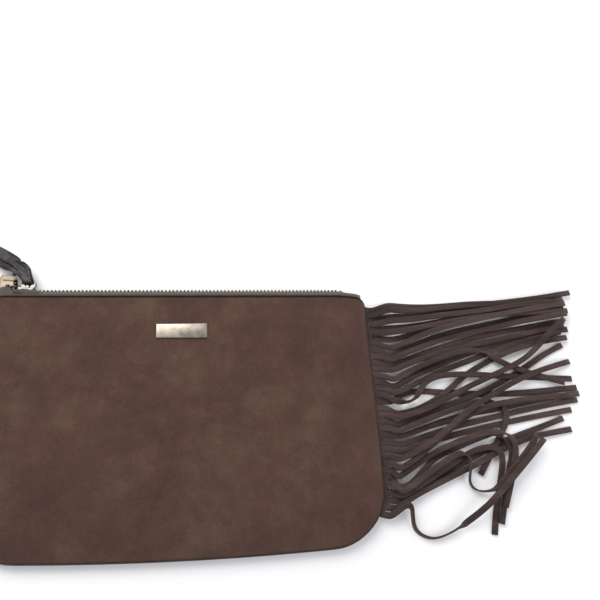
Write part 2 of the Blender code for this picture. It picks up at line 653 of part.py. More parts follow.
def extrude_outline(name, points, low, high, axes):
    """A prism from an outline in two axes, drawn out along the third."""
    bm = bmesh.new()
    rings = []
    for level in (low, high):
        ring = []
        for a, b in points:
            co = [level, level, level]
            co[axes[0]], co[axes[1]] = a, b
            ring.append(bm.verts.new(co))
        rings.append(ring)
    bridge_rings(bm, rings, False)
    bm.faces.new(rings[0])
    bm.faces.new(rings[1])
    return finish_mesh(name, bm)


def add_boolean(obj, mesh):
    """Join another closed mesh to an object."""
    other = bpy.data.objects.new(obj.name + "_part", mesh)
    bpy.context.scene.collection.objects.link(other)
    other.location = obj.location
    other.hide_render = True
    other.display_type = "WIRE"
    modifier = obj.modifiers.new("join", "BOOLEAN")
    modifier.operation = "UNION"
    modifier.solver = "EXACT"
    modifier.object = other


def make_slider():
    """Two plates with flanges, the post between them and the crown that holds the ring."""
    floor_h = TOOTH_HALF_T + GAP + 0.0001
    top = floor_h + SLIDER_PLATE_T
    bm = bmesh.new()
    make_plate_half(bm, 1)
    body = finish_mesh("zip_slider", bm)
    slider = new_object("zip_slider", body, (0.62, 0.61, 0.59), 0.18, 1.0)
    slider.location = (SLIDER_X, CHAIN_Y, CHAIN_Z)
    bm = bmesh.new()
    make_plate_half(bm, -1)
    add_boolean(slider, finish_mesh("slider_inner_plate", bm))
    nose = -SLIDER_LENGTH / 2
    post = [(nose + 0.0003, 0.0), (nose + 0.0010, -POST_HALF_W), (nose + 0.0019, -POST_HALF_W),
            (nose + 0.0028, 0.0), (nose + 0.0019, POST_HALF_W), (nose + 0.0010, POST_HALF_W)]
    reach = floor_h + SLIDER_PLATE_T / 2
    add_boolean(slider, extrude_outline("slider_post", post, -reach, reach, (0, 2)))
    hole = 2 * RING_WIRE_R + 2 * GAP + 0.0002
    foot = top - SLIDER_PLATE_T / 2
    w, wi = CROWN_HALF_W, CROWN_HALF_W - CROWN_BAR * 0.8
    high = top + hole + CROWN_BAR
    cut = 0.0006
    arch = [(foot, -w), (high - cut, -w), (high, -w + cut), (high, w - cut), (high - cut, w),
            (foot, w), (foot, wi), (high - CROWN_BAR, wi), (high - CROWN_BAR, -wi), (foot, -wi)]
    half = CROWN_LENGTH / 2
    add_boolean(slider, extrude_outline("slider_crown", arch, -half, half, (1, 2)))
    return top + GAP + 0.0001 + RING_WIRE_R


def ring_outline():
    """Middle of the ring's wire: a rounded rectangle in X and depth."""
    points = []
    half = RING_HALF_X - RING_CORNER
    low, high = RING_CORNER, RING_DEPTH - RING_CORNER
    for cx, cy, start in ((half, low, -90), (half, high, 0), (-half, high, 90), (-half, low, 180)):
        for k in range(5):
            angle = math.radians(start + 22.5 * k)
            points.append((cx + RING_CORNER * math.cos(angle), cy + RING_CORNER * math.sin(angle)))
    return points


def make_ring(near_y):
    """Bent wire ring through the slider's crown; its origin is on the near wire."""
    bm = bmesh.new()
    points = ring_outline()
    rings = []
    count, sides = len(points), 8
    for i, (x, d) in enumerate(points):
        ax, ad = points[i - 1]
        bx, bd = points[(i + 1) % count]
        length = math.hypot(bx - ax, bd - ad)
        out = ((bd - ad) / length, -(bx - ax) / length)
        ring = []
        for k in range(sides):
            angle = 2 * math.pi * (k + 0.5) / sides
            across, up = RING_WIRE_R * math.cos(angle), RING_WIRE_R * math.sin(angle)
            ring.append(bm.verts.new((x + out[0] * across, d + out[1] * across, up)))
        rings.append(ring)
    bridge_rings(bm, rings, True)
    mesh = finish_mesh("pull_ring", bm)
    mesh.shade_smooth()
    ring_obj = new_object("pull_ring", mesh, (0.66, 0.65, 0.63), 0.15, 1.0)
    ring_obj.location = (SLIDER_X, near_y, CHAIN_Z)
    ring_obj.rotation_euler = (RING_TILT, 0.0, 0.0)


def spline_points(points, spacing):
    """Evenly spaced points on a smooth curve through the given ones."""
    ends = [2 * points[0] - points[1], *points, 2 * points[-1] - points[-2]]
    dense = []
    for a, b, c, d in zip(ends, ends[1:], ends[2:], ends[3:]):
        for k in range(24):
            t = k / 24
            dense.append(0.5 * (2 * b + (c - a) * t + (2 * a - 5 * b + 4 * c - d) * t ** 2
                                + (3 * b - a - 3 * c + d) * t ** 3))
    dense = np.array([*dense, points[-1]])
    steps = np.hypot(*(dense[1:, :2] - dense[:-1, :2]).T)
    along = np.concatenate([[0.0], np.cumsum(steps)])
    count = max(2, int(round(along[-1] / spacing)))
    at = np.linspace(0.0, along[-1], count + 1)
    columns = [np.interp(at, along, dense[:, k]) for k in range(dense.shape[1])]
    return at, np.stack(columns, axis=1)


def strap_station(centre, tangent, out, width, splay):
    """Four corners of the strap's section: across the strap and along out."""
    side = Vector((tangent.y, -tangent.x, 0.0)).normalized()
    middle = centre + side * splay
    half_w, half_t = side * (width / 2), out * (STRAP_T / 2)
    return [middle - half_w - half_t, middle + half_w - half_t,
            middle + half_w + half_t, middle - half_w + half_t]


def make_strap(near_y):
    """A leather strap, doubled, that loops round the far wire of the ring."""
    pivot = Vector((SLIDER_X, near_y + RING_DEPTH * math.cos(RING_TILT),
                    CHAIN_Z + RING_DEPTH * math.sin(RING_TILT)))
    fold_r = RING_WIRE_R + GAP + 0.0001 + STRAP_T / 2
    route = [np.array([pivot.x, pivot.y, pivot.z])]
    for (x, y), z in zip(STRAP_ROUTE, STRAP_HEIGHTS):
        route.append(np.array([SLIDER_X + x * ROUTE_UNIT, CHAIN_Y + y * ROUTE_UNIT,
                               z * ROUTE_UNIT]))
    at, middle = spline_points(route, STRAP_STEP)
    count = len(middle)
    lay = (STRAP_T + STRAP_LEG_GAP) / 2
    lower, upper = [], []
    up = Vector((0.0, 0.0, 1.0))
    for i in range(count):
        before, after = middle[max(0, i - 1)], middle[min(count - 1, i + 1)]
        tangent = Vector((*(after - before)[:2], 0.0)).normalized()
        if i == 0:
            tangent = Vector((0.0, 1.0, 0.0))
        spread = smooth(at[i] / 0.016)
        width = lerp(STRAP_NECK_WIDTH, STRAP_WIDTH, spread)
        far = smooth((at[i] - at[-1] + 0.03) / 0.03)
        apart = lerp(fold_r, lay, spread) + STRAP_END_RISE * far
        splay = STRAP_SPLAY * smooth((at[i] - 0.003) / 0.018) * (1 - far)
        point = Vector(middle[i]) + up * STRAP_END_RISE * far
        lower.append(strap_station(point - up * apart, tangent, up, width, -splay))
        upper.append(strap_station(point + up * apart, tangent, up, width, splay))
    last = Vector(middle[-1]) + up * STRAP_END_RISE
    end_r = lay + STRAP_END_RISE
    far_fold, near_fold = [], []
    for k in range(1, 6):
        angle = math.pi * k / 6
        out = tangent * math.sin(angle) - up * math.cos(angle)
        far_fold.append(strap_station(last + out * end_r, tangent, -out, STRAP_WIDTH, 0.0))
    for k in range(1, 6):
        angle = math.pi * k / 6
        forward = Vector((0.0, 1.0, 0.0))
        out = up * math.cos(angle) - forward * math.sin(angle)
        near_fold.append(strap_station(pivot + out * fold_r, forward, -out, STRAP_NECK_WIDTH, 0.0))
    flipped_upper = [[q[3], q[2], q[1], q[0]] for q in reversed(upper)]
    stations = lower + far_fold + flipped_upper + near_fold
    bm = bmesh.new()
    rings = [[bm.verts.new(p - pivot) for p in station] for station in stations]
    bridge_rings(bm, rings, True)
    mesh = finish_mesh("wrist_strap", bm)
    strap = new_object("wrist_strap", mesh, (0.105, 0.092, 0.084), 0.45, 0.0)
    strap.location = pivot


def make_plate():
    """Bare bevelled metal plate on the front panel."""
    bm = bmesh.new()
    base = FRONT_HEIGHT + GAP
    box_between(bm, (PLATE_X - PLATE_W / 2, PLATE_Y - PLATE_H / 2, base),
                (PLATE_X + PLATE_W / 2, PLATE_Y + PLATE_H / 2, base + PLATE_T))
    top = [e for e in bm.edges if all(v.co.z > base + PLATE_T / 2 for v in e.verts)]
    bmesh.ops.bevel(bm, geom=top, offset=PLATE_BEVEL, segments=2, profile=0.6, affect="EDGES")
    mesh = finish_mesh("name_plate", bm)
    new_object("name_plate", mesh, (0.72, 0.69, 0.62), 0.25, 1.0)


def seam_point(s):
    """Point and outward direction on the fringe seam, s up from its low end."""
    centre = Vector((HALF_WIDTH - CORNER_R, BOTTOM_Y + CORNER_R))
    start = math.asin((FRINGE_LOW_Y - centre.y) / CORNER_R)
    arc = -start * CORNER_R
    if s < arc:
        angle = start + s / CORNER_R
        out = Vector((math.cos(angle), math.sin(angle)))
        return centre + out * CORNER_R, out
    return Vector((HALF_WIDTH, centre.y + s - arc)), Vector((1.0, 0.0))


def band_point(s, out, z):
    """A point of the band that is sewn into the seam; out is measured from the seam."""
    point, normal = seam_point(s)
    flat = point + normal * out
    placed = place(flat.x, flat.y, z, True)
    return placed


def soften(path, fixed):
    """Round the sharp turns of a path; its first points and its last stay where they are."""
    path = path.copy()
    for _ in range(SOFTEN_PASSES):
        middle = (path[:-2] + 2 * path[1:-1] + path[2:]) / 4
        path[fixed:-1] = middle[fixed - 1:]
    return path


def strand_stations(index, where):
    """Sections of a strand: places along it, plan points and directions, and the turn up."""
    base = band_point(where, BAND_OUT, 0.0)
    square = band_point(where, BAND_OUT + STRAND_STRAIGHT, 0.0)
    points = [np.array(base[:2]), np.array(square[:2])]
    points += [np.array((HALF_WIDTH + x * ROUTE_UNIT, y * ROUTE_UNIT))
               for x, y in STRAND_ROUTES[index]]
    at, path = spline_points(points, ROUTE_UNIT)
    path = soften(path, int(round(STRAND_STRAIGHT / 2 / ROUTE_UNIT)))
    heading = np.unwrap(np.arctan2(*np.gradient(path, axis=0).T[::-1]))
    start, end, side = EDGE_RUNS.get(index, (0, 0, 0))
    stand = np.array([side * EDGE_ANGLE * smooth((a - start * ROUTE_UNIT) / EDGE_EASE)
                      * smooth((end * ROUTE_UNIT - a) / EDGE_EASE) for a in at])
    near_root = np.where(at[1:] < ROOT_LENGTH, ROOT_SHARE, 1.0)
    effort = np.abs(np.diff(at)) / STRAND_STEP + np.abs(np.diff(heading)) / STRAND_TURN / near_root
    effort += np.abs(np.diff(stand)) / STRAND_TURN
    total = np.concatenate([[0.0], np.cumsum(effort)])
    first = int(round(STRAND_STRAIGHT / ROUTE_UNIT))
    rest = total[first:] - total[first]
    count = max(6, int(math.ceil(rest[-1])))
    picks = np.interp(np.linspace(0.0, rest[-1], count + 1), rest, at[first:])
    picks = np.concatenate([[0.0], picks])
    plan = [np.interp(picks, at, path[:, k]) for k in (0, 1)]
    angles = np.interp(picks, at, heading)
    return picks, np.stack(plan, axis=1), angles, np.interp(picks, at, stand)


class Table:
    """Height of what already lies on the table, on a fine grid."""

    def __init__(self):
        self.x = np.arange(TABLE_LOW[0], TABLE_HIGH[0], TABLE_CELL)
        self.y = np.arange(TABLE_LOW[1], TABLE_HIGH[1], TABLE_CELL)
        self.top = np.full((len(self.x), len(self.y)), -STRAND_CLEAR)

    def footprint(self, a, b, half_a, half_b, margin):
        """Cells under one stretch of strand, and how far along it they lie."""
        reach = max(half_a, half_b) + margin + 0.001
        i = np.searchsorted(self.x, [min(a[0], b[0]) - reach, max(a[0], b[0]) + reach])
        j = np.searchsorted(self.y, [min(a[1], b[1]) - reach, max(a[1], b[1]) + reach])
        x, y = np.meshgrid(self.x[i[0]:i[1]], self.y[j[0]:j[1]], indexing="ij")
        length = math.hypot(b[0] - a[0], b[1] - a[1])
        ux, uy = (b[0] - a[0]) / length, (b[1] - a[1]) / length
        along = ((x - a[0]) * ux + (y - a[1]) * uy) / length
        across = np.abs((y - a[1]) * ux - (x - a[0]) * uy)
        ease = (0.0008 + margin) / length
        share = np.clip(along, 0.0, 1.0)
        inside = (along > -ease) & (along < 1 + ease)
        inside &= across < half_a + (half_b - half_a) * share + margin
        return (slice(*i), slice(*j)), inside, share


def strand_half_width(at):
    """Half the strand's width at each section."""
    share = np.array([smooth((a - 0.004) / 0.010) for a in at])
    return (STRAND_WIDTH + (STRAND_FREE_WIDTH - STRAND_WIDTH) * share) / 2


def lay_strand(table, stations, base_z):
    """Heights of a strand's sections as it comes down over what lies there already."""
    at, plan, _, stand = stations
    half_w, half_t = strand_half_width(at), FRINGE_T / 2
    side = half_w * np.abs(np.cos(stand)) + half_t * np.abs(np.sin(stand))
    tall = half_w * np.abs(np.sin(stand)) + half_t * np.abs(np.cos(stand))
    low = np.array([base_z * (1 - smooth(a / STRAND_DROP)) for a in at])
    for k in range(1, len(at) - 1):
        margin = STRAND_MARGIN if at[k] > 0.010 else -2 * STRAND_MARGIN
        window, inside, _ = table.footprint(plan[k], plan[k + 1], side[k], side[k + 1], margin)
        if inside.any():
            need = table.top[window][inside].max() + STRAND_CLEAR
            low[k] = max(low[k], need)
            low[k + 1] = max(low[k + 1], need)
    for order in (range(1, len(at)), range(len(at) - 2, 0, -1)):
        for k in order:
            other = k - 1 if order.step > 0 else k + 1
            fall = STRAND_SLOPE * abs(at[k] - at[other])
            low[k] = max(low[k], low[other] - fall)
    for k in range(len(at) - 1):
        window, inside, share = table.footprint(plan[k], plan[k + 1], side[k], side[k + 1], 0.0)
        one, two = low[k] + 2 * tall[k], low[k + 1] + 2 * tall[k + 1]
        height = one + (two - one) * share
        table.top[window] = np.where(inside, np.maximum(table.top[window], height),
                                     table.top[window])
    return low + tall


def strand_rings(bm, stations, heights):
    """Sections of a strand past its root, as rings of four vertices."""
    at, plan, angles, stand = stations
    half_width = strand_half_width(at)
    rings = []
    for k in range(1, len(plan)):
        side = Vector((-math.sin(angles[k]), math.cos(angles[k]), 0.0))
        up = Vector((0.0, 0.0, 1.0))
        wide = side * math.cos(stand[k]) + up * math.sin(stand[k])
        thick = up * math.cos(stand[k]) - side * math.sin(stand[k])
        centre = Vector((*plan[k], heights[k]))
        wide *= half_width[k]
        thick *= FRINGE_T / 2
        corners = (centre - wide - thick, centre - wide + thick,
                   centre + wide + thick, centre + wide - thick)
        rings.append([bm.verts.new(c) for c in corners])
    return rings


def make_fringe():
    """One strip of suede: a band sewn into the side seam, cut into strands outside it."""
    low_z = SEAM_Z + GAP
    high_z = low_z + FRINGE_T
    places = [FIRST_STRAND_S + k * STRAND_PITCH for k in range(len(STRAND_ROUTES))]
    laid = {}
    table = Table()
    for index in LAYING_ORDER:
        stations = strand_stations(index, places[index])
        laid[index] = (stations, lay_strand(table, stations, low_z))
    bm = bmesh.new()
    half = STRAND_WIDTH / 2
    columns = []
    for where in places:
        for s in (where - half, where + half):
            inner = [bm.verts.new(band_point(s, -BAND_DEPTH, z)) for z in (low_z, high_z)]
            outer = [bm.verts.new(band_point(s, BAND_OUT, z)) for z in (low_z, high_z)]
            columns.append((inner, outer))
    for (inner_a, outer_a), (inner_b, outer_b) in zip(columns, columns[1:]):
        add_quad(bm, inner_a[0], inner_b[0], outer_b[0], outer_a[0])
        add_quad(bm, inner_a[1], inner_b[1], outer_b[1], outer_a[1])
        add_quad(bm, inner_a[0], inner_b[0], inner_b[1], inner_a[1])
    for inner, outer in (columns[0], columns[-1]):
        add_quad(bm, inner[0], inner[1], outer[1], outer[0])
    for k in range(1, len(columns) - 2, 2):
        one, two = columns[k][1], columns[k + 1][1]
        add_quad(bm, one[0], two[0], two[1], one[1])
    for index in range(len(places)):
        stations, heights = laid[index]
        low_side, high_side = columns[2 * index][1], columns[2 * index + 1][1]
        root = [low_side[0], low_side[1], high_side[1], high_side[0]]
        rings = [root, *strand_rings(bm, stations, heights)]
        bridge_rings(bm, rings, False)
        bm.faces.new(rings[-1])
    new_object("fringe", finish_mesh("fringe", bm), (0.068, 0.055, 0.049), 0.9, 0.0)


def main():
    for obj in list(bpy.data.objects):
        bpy.data.objects.remove(obj, do_unlink=True)
    make_panels()
    make_linings()
    make_tapes()
    make_teeth()
    make_stops()
    near_y = CHAIN_Y + make_slider()
    make_ring(near_y)
    make_strap(near_y)
    make_plate()
    make_fringe()


main()
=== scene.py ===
"""Fringed suede clutch bag on a pale floor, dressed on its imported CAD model."""
import math

import bmesh
import bpy
import numpy as np
from mathutils import Matrix, Vector
from mathutils.noise import fractal


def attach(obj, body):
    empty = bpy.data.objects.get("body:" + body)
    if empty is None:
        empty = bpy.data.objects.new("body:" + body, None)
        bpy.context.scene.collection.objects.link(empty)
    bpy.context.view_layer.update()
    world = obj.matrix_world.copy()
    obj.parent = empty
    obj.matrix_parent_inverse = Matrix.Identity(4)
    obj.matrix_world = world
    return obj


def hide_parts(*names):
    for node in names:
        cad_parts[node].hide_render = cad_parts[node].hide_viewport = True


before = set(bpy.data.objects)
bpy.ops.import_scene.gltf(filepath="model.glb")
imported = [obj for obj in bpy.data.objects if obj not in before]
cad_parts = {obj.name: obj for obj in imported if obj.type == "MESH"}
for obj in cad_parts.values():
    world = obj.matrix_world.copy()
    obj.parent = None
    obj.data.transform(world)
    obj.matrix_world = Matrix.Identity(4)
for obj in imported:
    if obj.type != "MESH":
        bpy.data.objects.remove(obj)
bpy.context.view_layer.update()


# Shared helpers

def colour(code):
    """Linear colour from an sRGB hex code."""
    parts = [int(code[i:i + 2], 16) / 255 for i in (1, 3, 5)]
    return (*[c / 12.92 if c <= 0.04045 else ((c + 0.055) / 1.055) ** 2.4 for c in parts], 1.0)


def add_node(tree, kind, settings=None, **inputs):
    """A shader node with its sockets set or linked: a link is given as a socket."""
    node = tree.nodes.new("ShaderNode" + kind)
    for key, value in (settings or {}).items():
        setattr(node, key, value)
    for key, value in inputs.items():
        socket = node.inputs[int(key[1:])] if key[1:].isdigit() else node.inputs[key.replace("_", " ")]
        if isinstance(value, bpy.types.NodeSocket):
            tree.links.new(value, socket)
        else:
            socket.default_value = value
    return node


def new_material(name):
    """An empty node material and its shader."""
    material = bpy.data.materials.new(name)
    material.use_nodes = True
    return material, material.node_tree, material.node_tree.nodes["Principled BSDF"]


def ramp(tree, factor, stops):
    """Colours along a factor, from (position, colour) pairs."""
    node = add_node(tree, "ValToRGB", Fac=factor)
    elements = node.color_ramp.elements
    while len(elements) < len(stops):
        elements.new(0.5)
    for element, (position, code) in zip(elements, stops):
        element.position = position
        element.color = colour(code)
    return node.outputs["Color"]


def noise(tree, vector, scale, detail=3.0, roughness=0.5):
    node = add_node(tree, "TexNoise", Vector=vector, Scale=scale, Detail=detail,
                    Roughness=roughness)
    return node.outputs["Fac"]


def bump(tree, height, strength, distance, below=None):
    """A bump from a height, on top of another one if given."""
    node = add_node(tree, "Bump", Height=height, Strength=strength, Distance=distance)
    if below:
        tree.links.new(below, node.inputs["Normal"])
    return node.outputs["Normal"]


def mix(tree, factor, a, b, blend="MIX"):
    node = add_node(tree, "Mix", {"data_type": "RGBA", "blend_type": blend}, _0=factor)
    for index, value in ((6, a), (7, b)):
        if isinstance(value, bpy.types.NodeSocket):
            tree.links.new(value, node.inputs[index])
        else:
            node.inputs[index].default_value = value
    return node.outputs[2]


def scaled(tree, vector, scale):
    """Coordinates stretched along each axis."""
    node = add_node(tree, "Mapping", Vector=vector, Scale=scale)
    return node.outputs["Vector"]


def metal(name, base, roughness, scale=900.0):
    """Plated metal with faint smudges and fine scratches."""
    material, tree, shader = new_material(name)
    where = add_node(tree, "TexCoord").outputs["Object"]
    smudge = noise(tree, where, scale, 3.0)
    rough = add_node(tree, "MapRange", Value=smudge, _3=roughness * 0.75, _4=roughness * 1.4)
    tree.links.new(rough.outputs[0], shader.inputs["Roughness"])
    dull = ramp(tree, noise(tree, where, scale / 3, 2.0), [(0.3, "#d8d4cf"), (0.6, "#ffffff")])
    tree.links.new(mix(tree, 1.0, colour(base), dull, "MULTIPLY"), shader.inputs["Base Color"])
    scratch = noise(tree, scaled(tree, where, (1.0, 12.0, 1.0)), scale * 1.5, 2.0)
    tree.links.new(bump(tree, scratch, 0.12, 0.0001), shader.inputs["Normal"])
    shader.inputs["Metallic"].default_value = 1.0
    return material


def grid_object(name, outer, inner, mark, values):
    """A closed skin from two equal grids of points, joined round their borders. Each point also
    carries a value for the material, first the outer face's and then the inner face's."""
    n, m = len(outer), len(outer[0])
    verts = [p for grid in (outer, inner) for row in grid for p in row]
    faces = []
    for base, flip in ((0, False), (n * m, True)):
        for i in range(n - 1):
            for j in range(m - 1):
                a = base + i * m + j
                quad = (a, a + 1, a + m + 1, a + m)
                faces.append(quad[::-1] if flip else quad)
    border = [(0, j) for j in range(m)] + [(i, m - 1) for i in range(1, n)]
    border += [(n - 1, j) for j in range(m - 2, -1, -1)] + [(i, 0) for i in range(n - 2, 0, -1)]
    for (i, j), (k, l) in zip(border, border[1:] + border[:1]):
        a, b = i * m + j, k * m + l
        faces.append((b, a, a + n * m, b + n * m))
    mesh = bpy.data.meshes.new(name)
    mesh.from_pydata(verts, [], faces)
    mesh.attributes.new(mark, "FLOAT", "POINT").data.foreach_set("value", values)
    bm = bmesh.new()
    bm.from_mesh(mesh)
    bmesh.ops.remove_doubles(bm, verts=bm.verts, dist=1e-6)
    bmesh.ops.recalc_face_normals(bm, faces=bm.faces)
    bm.to_mesh(mesh)
    bm.free()
    mesh.shade_smooth()
    mesh.set_sharp_from_angle(angle=math.radians(50))
    obj = bpy.data.objects.new(name, mesh)
    scene.collection.objects.link(obj)
    return obj


def copy_node(node, name):
    """A merged copy of a CAD node's mesh, as a new object."""
    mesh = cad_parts[node].data.copy()
    mesh.name = name
    mesh.materials.clear()
    bm = bmesh.new()
    bm.from_mesh(mesh)
    bmesh.ops.remove_doubles(bm, verts=bm.verts, dist=2e-6)
    bmesh.ops.dissolve_limit(bm, angle_limit=math.radians(0.5), verts=bm.verts, edges=bm.edges)
    bmesh.ops.recalc_face_normals(bm, faces=bm.faces)
    bm.to_mesh(mesh)
    bm.free()
    obj = bpy.data.objects.new(name, mesh)
    scene.collection.objects.link(obj)
    return obj


def crease_sharp(obj, degrees):
    """Mark the sharp edges so that subdividing keeps them."""
    bm = bmesh.new()
    bm.from_mesh(obj.data)
    layer = bm.edges.layers.float.new("crease_edge")
    for edge in bm.edges:
        if edge.calc_face_angle(0.0) > math.radians(degrees):
            edge[layer] = 1.0
    bm.to_mesh(obj.data)
    bm.free()


def subdivide(obj):
    """Smooth a copied CAD mesh twice over."""
    rounder = obj.modifiers.new("round", "SUBSURF")
    rounder.levels = 2
    rounder.render_levels = 2


def round_edges(obj, width, segments=2, angle=35):
    bevel = obj.modifiers.new("bevel", "BEVEL")
    bevel.width = width
    bevel.segments = segments
    bevel.limit_method = "ANGLE"
    bevel.angle_limit = math.radians(angle)


def apply_modifiers(obj, smooth_angle=50):
    """Bake the live modifiers into a plain mesh."""
    shape = obj.evaluated_get(bpy.context.evaluated_depsgraph_get())
    mesh = bpy.data.meshes.new_from_object(shape)
    mesh.name = obj.data.name
    obj.modifiers.clear()
    obj.data = mesh
    mesh.shade_smooth()
    mesh.set_sharp_from_angle(angle=math.radians(smooth_angle))


# Camera, floor and light

# The camera stands where the photo was taken from: above the bag, a little towards its
# bottom seam. Its three axes are right, up and back.
CAMERA_AT = (0.0343, -0.0757, 0.4386)
CAMERA_RIGHT = (0.9934, -0.0421, 0.1066)
CAMERA_UP = (0.0017, 0.9355, 0.3533)
CAMERA_BACK = (-0.1146, -0.3508, 0.9294)

scene = bpy.context.scene
scene.view_settings.view_transform = "Standard"
camera_data = bpy.data.cameras.new("camera")
camera_data.lens = 36.0
camera_data.sensor_width = 36.0
camera_data.clip_start = 0.01
camera = bpy.data.objects.new("camera", camera_data)
scene.collection.objects.link(camera)
turn = Matrix((CAMERA_RIGHT, CAMERA_UP, CAMERA_BACK)).transposed()
camera.matrix_world = Matrix.Translation(CAMERA_AT) @ turn.to_4x4()
scene.camera = camera

floor_mesh = bpy.data.meshes.new("floor")
floor_mesh.from_pydata([(-3, -3, 0), (3, -3, 0), (3, 3, 0), (-3, 3, 0)], [], [(0, 1, 2, 3)])
floor = bpy.data.objects.new("floor", floor_mesh)
scene.collection.objects.link(floor)
floor.location.z = -0.0004
paper, tree, shader = new_material("white_paper")
shader.inputs["Base Color"].default_value = colour("#fbfbfb")
shader.inputs["Roughness"].default_value = 0.9
floor_mesh.materials.append(paper)

world = bpy.data.worlds.new("studio")
scene.world = world
world.use_nodes = True
tree = world.node_tree
tree.nodes.clear()
path = add_node(tree, "LightPath")
seen = add_node(tree, "Math", {"operation": "MAXIMUM"}, _0=path.outputs["Is Camera Ray"],
                _1=path.outputs["Is Transmission Ray"])
soft = add_node(tree, "Background", Color=colour("#fafaff"), Strength=0.55)
white = add_node(tree, "Background", Color=colour("#ffffff"), Strength=1.0)
either = add_node(tree, "MixShader", Fac=seen.outputs[0], _1=soft.outputs[0], _2=white.outputs[0])
add_node(tree, "OutputWorld", Surface=either.outputs[0])

LIGHTS = [
    ("key", (-0.45, 0.75, 1.10), 0.8, 12.0, "#fffcf8"),
    ("fill", (0.95, -0.50, 0.95), 1.0, 6.0, "#f8f9ff"),
    ("rim", (0.10, 1.30, 0.45), 0.5, 4.0, "#ffffff"),
]
for name, at, size, power, code in LIGHTS:
    data = bpy.data.lights.new(name, "AREA")
    data.size = size
    data.energy = power
    data.color = colour(code)[:3]
    light = bpy.data.objects.new(name, data)
    light.location = at
    light.rotation_euler = (-Vector(at)).to_track_quat("-Z", "Y").to_euler()
    scene.collection.objects.link(light)


# Suede panels

# Two suede skins, smoothly filled, that roll down to the side and bottom seams and lean
# in to the zip. The sizes are the CAD model's, but the open corner parts over a shorter
# length and the linings reach nearer the seams. The surface is fine and a little uneven.
HALF_WIDTH = 0.141
TOP_TAPER = 0.021
BOTTOM_Y = -0.0948
TOP_Y = 0.0875
CORNER_R = 0.037
BOTTOM_BOW = 0.0025
END_DROP = 0.007
END_DROP_LENGTH = 0.009
GAP = 0.0003
SUEDE_T = 0.0012
LINING_T = 0.0005
TAPE_T = 0.0007
FRINGE_T = 0.0012
FRONT_HEIGHT = 0.0170
SEAM_Z = 0.0050
FRONT_ROLL = 0.030
BACK_ROLL = 0.022
TOP_ROLL = 0.014
LINING_INSET = 0.004
LIP_START_Y = 0.064
CHAIN_Z = 0.0085
TAPE_OUT = 0.0060
MOUTH_X = -0.1243
MOUTH_LENGTH = 0.0055
LIP_SPREAD_LENGTH = 0.0055
MOUTH_CLOSE = 0.005
FRONT_LIP_SHIFT = 0.0003
BACK_LIP_SHIFT = 0.0130
LINING_REACH = 0.0054
BAND_SIDE = 0.023
FRINGE_LOW_Y = -0.0775
UNEVEN = 0.00035
SEAM_PAINTED_SHADE = (0.0004, 0.0022)    # the painted shade where the suede turns in to a seam or the zip, in from the edge
PLATE_Y = 0.0595


def smooth(t):
    """Ease from 0 to 1."""
    t = min(1.0, max(0.0, t))
    return t * t * (3 - 2 * t)


def lerp(a, b, t):
    return a + (b - a) * t


def lip_spread(x):
    """How far the suede lips stand apart at x, from 0 to 1."""
    opened = smooth((MOUTH_X - GAP - x) / LIP_SPREAD_LENGTH)
    return opened * smooth((x + HALF_WIDTH + 0.0015) / MOUTH_CLOSE)


def mouth(x):
    """How far the zip tapes stand apart at x, from 0 to 1."""
    opened = smooth((MOUTH_X - x) / MOUTH_LENGTH)
    return opened * smooth((x + HALF_WIDTH + 0.0015) / MOUTH_CLOSE)


def end_drop(x):
    """Fall of the top edge where it turns down at the fringe end."""
    slope = 0.001 * smooth((x - HALF_WIDTH + BAND_SIDE) / 0.014)
    part = min(1.0, max(0.0, (x + END_DROP_LENGTH - HALF_WIDTH) / END_DROP_LENGTH))
    return slope + END_DROP * (1 - math.sqrt(1 - part * part))


def place(x, y, z, front):
    """Turn a point of the flat pattern into its place on the bag."""
    top = smooth((y - LIP_START_Y + 0.016) / (TOP_Y - LIP_START_Y + 0.016))
    up = smooth((y + CORNER_R) / (TOP_Y + CORNER_R))
    low = (TOP_Y - y) / (TOP_Y - BOTTOM_Y)
    bow = BOTTOM_BOW * (x / (HALF_WIDTH - CORNER_R)) ** 2 * max(0.0, low)
    shift = FRONT_LIP_SHIFT if front else BACK_LIP_SHIFT
    new_y = y + bow - end_drop(x) * top + shift * lip_spread(x) * top
    return Vector((x * (1 - TOP_TAPER * up), new_y, z))


def edge_distance(x, y, inset):
    """Distance in from the side and bottom seams, and the direction that leads inward."""
    centre_x = HALF_WIDTH - CORNER_R
    centre_y = BOTTOM_Y + CORNER_R
    side = math.copysign(1.0, x)
    if abs(x) > centre_x and y < centre_y:
        dx, dy = abs(x) - centre_x, y - centre_y
        r = math.hypot(dx, dy)
        return CORNER_R - inset - r, (-side * dx / r, -dy / r)
    from_side = HALF_WIDTH - inset - abs(x)
    from_bottom = y - BOTTOM_Y - inset
    if from_side < from_bottom:
        return from_side, (-side, 0.0)
    return from_bottom, (0.0, 1.0)


def seam_height(x, y, front):
    if not front:
        return SEAM_Z
    band = smooth((x - HALF_WIDTH + BAND_SIDE) / 0.012) * smooth((y - FRINGE_LOW_Y + 0.0125) / 0.010)
    return SEAM_Z + GAP + band * (FRINGE_T + GAP)


def roll_width(y, front):
    """Width over which a panel rolls down to its seam."""
    return lerp(FRONT_ROLL if front else BACK_ROLL, TOP_ROLL, smooth((y - 0.040) / (TOP_Y - 0.040)))


def crown_height(y, front):
    """Height of the panel's outer face away from the seams."""
    lean = smooth((y - LIP_START_Y) / (TOP_Y - LIP_START_Y))
    lip = TAPE_OUT + GAP + SUEDE_T
    if front:
        return lerp(FRONT_HEIGHT, CHAIN_Z + lip, lean)
    return lerp(0.0, CHAIN_Z - lip, lean)


